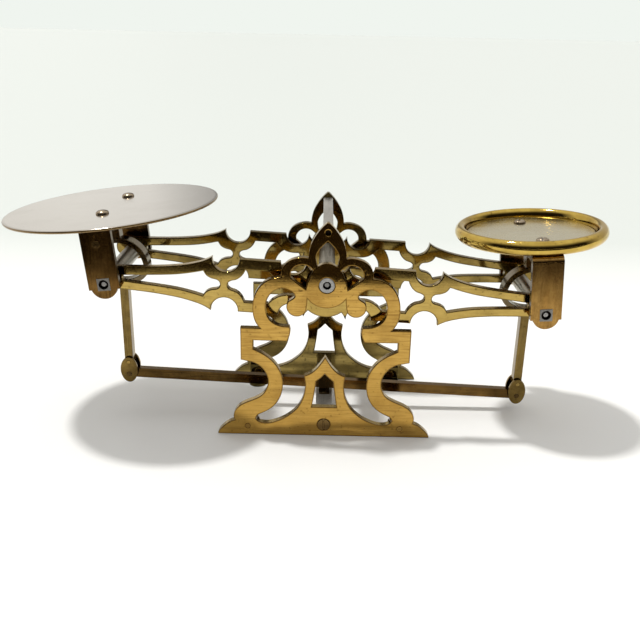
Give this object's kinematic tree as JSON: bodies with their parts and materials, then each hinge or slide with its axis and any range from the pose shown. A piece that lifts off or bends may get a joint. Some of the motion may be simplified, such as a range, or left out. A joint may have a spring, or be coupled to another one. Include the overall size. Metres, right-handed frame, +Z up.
{
  "type": "letter scale",
  "caption": "Equal-arm postal balance: fretwork stands carry a twin-plate beam, a flat letter plate at one end, a rimmed weight pan at the other, and a lower stay that keeps them upright.",
  "frame": {"origin": "on the resting plane, midway between the two stands, under the main pivot", "axes": "+Z up, +X along the beam to the right-hand weight pan, front stand towards -Y"},
  "size_m": [0.2488, 0.0874, 0.0936],
  "materials": {
    "front_stand": "linished, darkened at the edges",
    "back_stand": "linished, tarnished",
    "front_hub_bush": "polished, hardened",
    "back_hub_bush": "polished, hardened",
    "top_spacer": "grey, fine drawn",
    "bottom_spacer": "grey, fine drawn",
    "foot_screws": "worn, slotted",
    "stay_post": "dark, oiled",
    "front_lugs": "tarnished",
    "back_lugs": "tarnished",
    "lug_rivets": "tarnished",
    "front_beam": "linished",
    "back_beam": "linished, tarnished",
    "fulcrum_shaft": "turned",
    "left_end_shaft": "turned",
    "right_end_shaft": "turned",
    "left_strap": "vertical brushing, brown patina",
    "left_bushes": "polished, hardened",
    "left_pan": "nickel plated, fine straight brushing",
    "left_pan_screws": "worn, slotted",
    "left_stud": "dark patina",
    "left_hoop": "brown patina",
    "left_stem": "drawn",
    "left_fork_cheeks": "brown patina",
    "left_fork_pin": "dark",
    "left_fork_rivet": "dark patina",
    "left_leg_rivet": "worn",
    "right_strap": "vertical brushing, brown patina",
    "right_bushes": "polished, hardened",
    "right_pan": "polished, rolled rim",
    "right_pan_disc": "dull nickel",
    "right_pan_screws": "worn, slotted",
    "right_stud": "dark patina",
    "right_hoop": "brown patina",
    "right_stem": "drawn",
    "right_fork_cheeks": "brown patina",
    "right_fork_pin": "dark",
    "right_fork_rivet": "dark patina",
    "stay_bar": "brown patina",
    "stay_pin": "turned"
  },
  "bodies": {
    "stand": {"front_stand": "front_stand", "back_stand": "back_stand", "front_hub_bush": "front_hub_bush", "back_hub_bush": "back_hub_bush", "top_spacer": "top_spacer", "bottom_spacer": "bottom_spacer", "foot_screws": "foot_screws", "stay_post": "stay_post", "front_lugs": "front_lugs", "back_lugs": "back_lugs", "lug_rivets": "lug_rivets"},
    "beam": {"front_beam": "front_beam", "back_beam": "back_beam", "fulcrum_shaft": "fulcrum_shaft", "left_end_shaft": "left_end_shaft", "right_end_shaft": "right_end_shaft"},
    "left_carrier": {"left_strap": "left_strap", "left_bushes": "left_bushes", "left_pan": "left_pan", "left_pan_screws": "left_pan_screws", "left_stud": "left_stud", "left_hoop": "left_hoop", "left_stem": "left_stem", "left_fork_cheeks": "left_fork_cheeks", "left_fork_pin": "left_fork_pin", "left_fork_rivet": "left_fork_rivet", "left_leg_rivet": "left_leg_rivet"},
    "right_carrier": {"right_strap": "right_strap", "right_bushes": "right_bushes", "right_pan": "right_pan", "right_pan_disc": "right_pan_disc", "right_pan_screws": "right_pan_screws", "right_stud": "right_stud", "right_hoop": "right_hoop", "right_stem": "right_stem", "right_fork_cheeks": "right_fork_cheeks", "right_fork_pin": "right_fork_pin", "right_fork_rivet": "right_fork_rivet"},
    "stay": {"stay_bar": "stay_bar", "stay_pin": "stay_pin"}
  },
  "joints": [
    {"name": "beam_pivot", "type": "hinge", "parent": "stand", "child": "beam", "pos_m": [0, 0, 0.066], "axis": [0, 1, 0], "range_deg": [-5.7, 0]},
    {"name": "left_pan_pivot", "type": "hinge", "parent": "beam", "child": "left_carrier", "pos_m": [-0.0872, 0, 0.06423], "axis": [0, 1, 0], "range_deg": [0, 5.7]},
    {"name": "right_pan_pivot", "type": "hinge", "parent": "beam", "child": "right_carrier", "pos_m": [0.08659, 0, 0.05558], "axis": [0, 1, 0], "range_deg": [0, 5.7]},
    {"name": "stay_pivot", "type": "hinge", "parent": "stand", "child": "stay", "pos_m": [-0.00007, 0, 0.0173], "axis": [0, 1, 0], "range_deg": [-5.7, 0]}
  ],
  "couplings": [
    {"joint": "left_pan_pivot", "follows": "beam_pivot", "ratio": -1},
    {"joint": "right_pan_pivot", "follows": "beam_pivot", "ratio": -1},
    {"joint": "stay_pivot", "follows": "beam_pivot", "ratio": 1}
  ]
}
